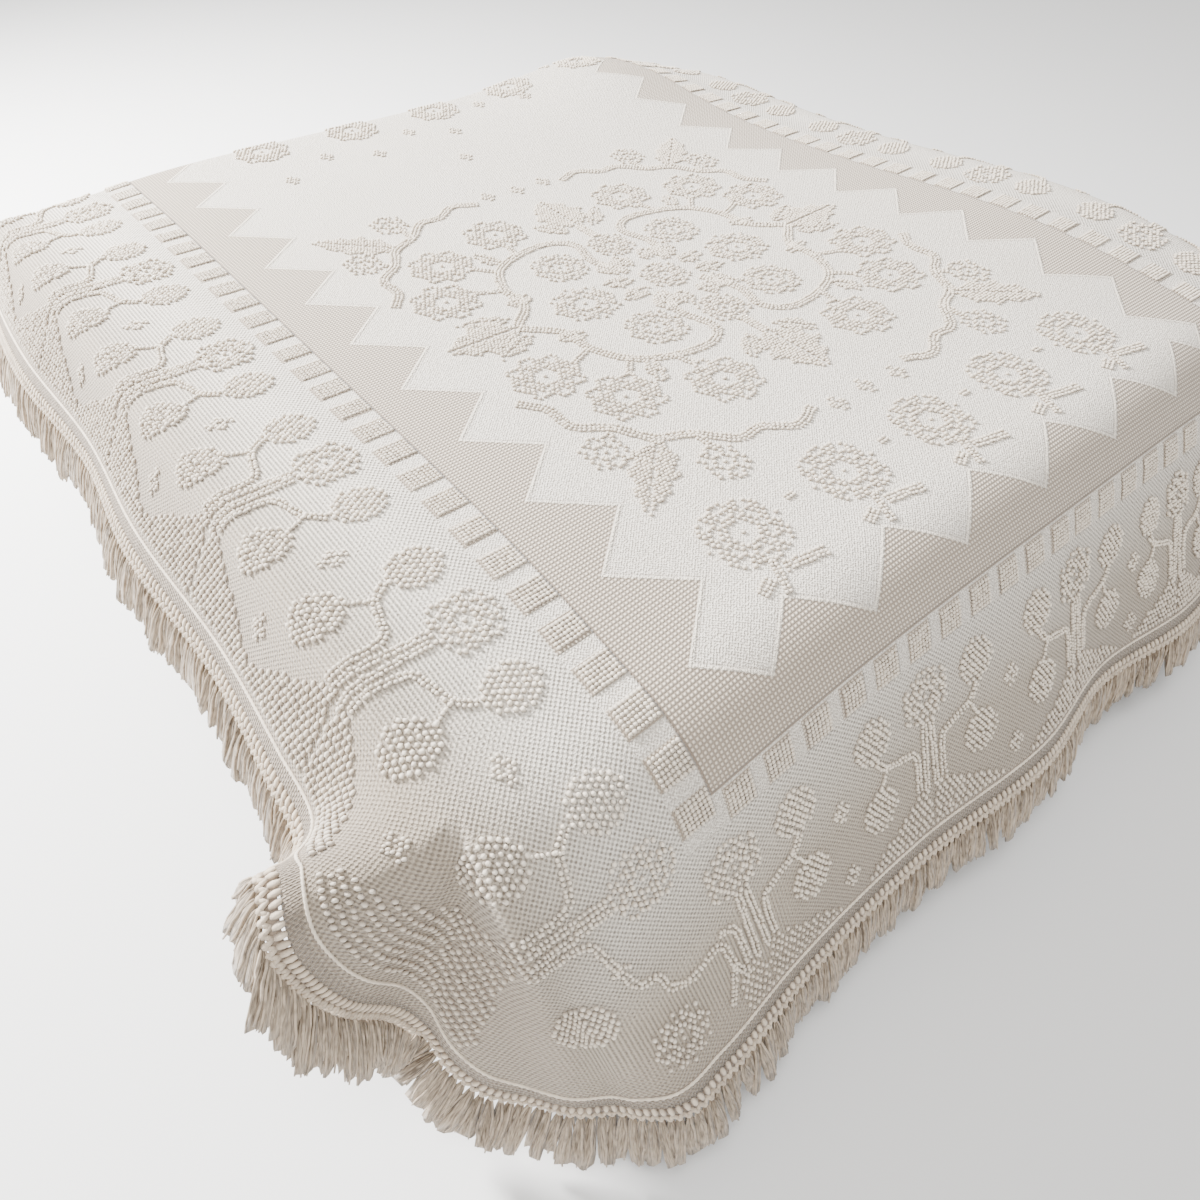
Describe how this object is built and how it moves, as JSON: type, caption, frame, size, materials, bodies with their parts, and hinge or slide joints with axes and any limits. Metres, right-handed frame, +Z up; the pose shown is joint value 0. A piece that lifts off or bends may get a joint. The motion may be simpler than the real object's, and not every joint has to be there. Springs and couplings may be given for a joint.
{
  "type": "chenille bedspread on a bed",
  "caption": "Woven and tufted cotton bedspread with a knotted tassel fringe, draped in uneven folds over a soft mattress on a plain divan base.",
  "frame": {"origin": "on the floor, at the middle of the flat underside of the bed base", "axes": "+Z up, -Y towards the foot of the bed, +X towards the right side of the bed as seen from its foot"},
  "size_m": [2.3479, 2.2341, 0.7032],
  "materials": {
    "spread_cloth": "matte cotton chenille",
    "fringe_heading": "matte cotton yarn",
    "fringe_tassels": "matte cotton yarn",
    "mattress": "plain matte ticking",
    "bed_base": "plain matte cover"
  },
  "bodies": {
    "root": {"spread_cloth": "spread_cloth", "fringe_heading": "fringe_heading", "fringe_tassels": "fringe_tassels", "mattress": "mattress", "bed_base": "bed_base"}
  },
  "joints": []
}
